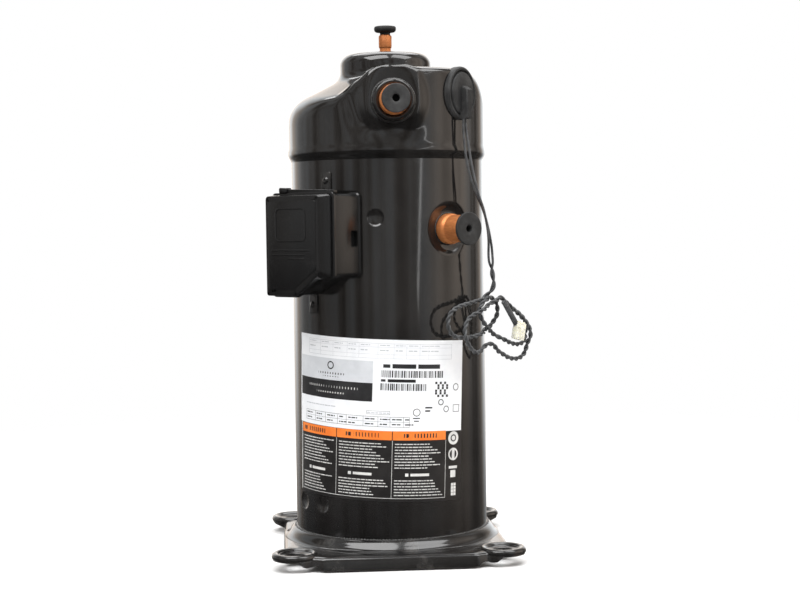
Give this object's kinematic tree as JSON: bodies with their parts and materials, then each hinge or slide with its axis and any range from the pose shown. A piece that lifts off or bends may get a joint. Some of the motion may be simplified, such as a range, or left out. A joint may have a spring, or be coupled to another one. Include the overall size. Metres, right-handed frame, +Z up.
{
  "type": "scroll compressor",
  "caption": "Vertical hermetic scroll compressor with a lifting scroll, copper stubs with plugs, a terminal box, a square base and a thermistor lead.",
  "frame": {"origin": "centre of the four mounting holes, in the plane of the undersides of the ears", "axes": "+Z up along the shell's axis, -Y towards the front with the discharge fitting and the labels"},
  "size_m": [0.2577, 0.2372, 0.5035],
  "materials": {
    "black_enamel": "gloss black enamel over steel",
    "machined_steel": "ground",
    "copper": "copper, drawn and slightly oxidised",
    "black_rubber": "matte moulded rubber",
    "bearing_bronze": "sintered bronze",
    "moulded_black": "satin moulded black plastic",
    "yellow_brass": "cast and machined",
    "seal_glass": "sealing glass",
    "zinc_steel": "zinc plated",
    "bracket_steel": "black enamel, scratched",
    "label_film": "white film, satin",
    "dark_label_film": "dark film, satin, with an orange band",
    "cast_iron": "as cast and machined",
    "lamination_steel": "stacked laminations",
    "winding_copper": "varnished copper wire",
    "lead_sheath": "dark grey flexible PVC",
    "ivory_nylon": "ivory nylon",
    "cast_aluminium": "die cast"
  },
  "bodies": {
    "frame": {"base_plate": "black_enamel", "lower_shell": "black_enamel", "centre_shell": "black_enamel", "top_cap": "black_enamel", "partition_plate": "machined_steel", "piston_cylinder": "machined_steel", "suction_pad": "black_enamel", "suction_stub": "copper", "suction_baffle": "machined_steel", "discharge_boss": "black_enamel", "discharge_stub": "copper", "valve_guard": "machined_steel", "unloader_stub": "copper", "thermistor_cover": "black_rubber", "thermistor_probe": "bearing_bronze", "terminal_box": "moulded_black", "terminal_plate": "machined_steel", "terminal_pins": "yellow_brass", "pin_glass": "seal_glass", "terminal_block": "moulded_black", "ground_screw": "zinc_steel", "upper_bracket": "bracket_steel", "lower_bracket": "bracket_steel", "bracket_screws": "zinc_steel", "upper_label": "label_film", "lower_label": "dark_label_film", "bearing_housing": "cast_iron", "main_bush": "bearing_bronze", "thrust_plate": "machined_steel", "lower_bearing_bracket": "cast_iron", "lower_bush": "bearing_bronze", "stator_core": "lamination_steel", "stator_winding": "winding_copper", "motor_protector": "zinc_steel", "oil_magnet": "cast_iron", "scroll_bolts": "machined_steel", "thermistor_lead": "lead_sheath", "thermistor_coil": "lead_sheath", "lead_sleeve": "black_rubber", "thermistor_connector": "ivory_nylon", "piston_spring": "machined_steel"},
    "crank": {"crankshaft": "machined_steel", "rotor_core": "lamination_steel", "rotor_end_rings": "cast_aluminium", "upper_counterweight": "yellow_brass", "lower_counterweight": "yellow_brass", "drive_bushing": "machined_steel", "oil_pickup": "machined_steel"},
    "orbiter": {"orbiting_scroll": "cast_iron", "hub_bush": "bearing_bronze", "oldham_ring": "cast_aluminium"},
    "lift_scroll": {"fixed_scroll": "cast_iron", "floating_seal": "machined_steel", "lift_piston": "machined_steel", "piston_seal": "black_rubber"},
    "check_valve": {"valve_disc": "machined_steel"},
    "cover": {"terminal_cover": "moulded_black"},
    "suction_cap": {"suction_plug": "black_rubber"},
    "discharge_cap": {"discharge_plug": "black_rubber"},
    "unloader_plug": {"unloader_cap": "black_rubber"}
  },
  "joints": [
    {"name": "crank_spin", "type": "hinge", "parent": "frame", "child": "crank", "pos_m": [0, 0, 0.15], "axis": [0, 0, 1], "continuous": true},
    {"name": "scroll_orbit", "type": "hinge", "parent": "crank", "child": "orbiter", "pos_m": [0.00502, 0, 0.3], "axis": [0, 0, 1], "continuous": true},
    {"name": "scroll_lift", "type": "slide", "parent": "frame", "child": "lift_scroll", "axis": [0, 0, 1], "range_m": [0, 0.001], "deforming": ["piston_spring"]},
    {"name": "check_valve_travel", "type": "slide", "parent": "frame", "child": "check_valve", "axis": [0, -1, 0], "range_m": [0, 0.002]},
    {"name": "cover_removal", "type": "slide", "parent": "frame", "child": "cover", "axis": [-0.6947, -0.7193, 0], "range_m": [0, 0.05]},
    {"name": "suction_plug_pull", "type": "slide", "parent": "frame", "child": "suction_cap", "axis": [0.5664, -0.8241, 0], "range_m": [0, 0.03]},
    {"name": "discharge_plug_pull", "type": "slide", "parent": "frame", "child": "discharge_cap", "axis": [0, -1, 0], "range_m": [0, 0.03]},
    {"name": "unloader_cap_pull", "type": "slide", "parent": "frame", "child": "unloader_plug", "axis": [0, 0, 1], "range_m": [0, 0.02]}
  ],
  "couplings": [
    {"joint": "scroll_orbit", "follows": "crank_spin", "ratio": -1}
  ]
}
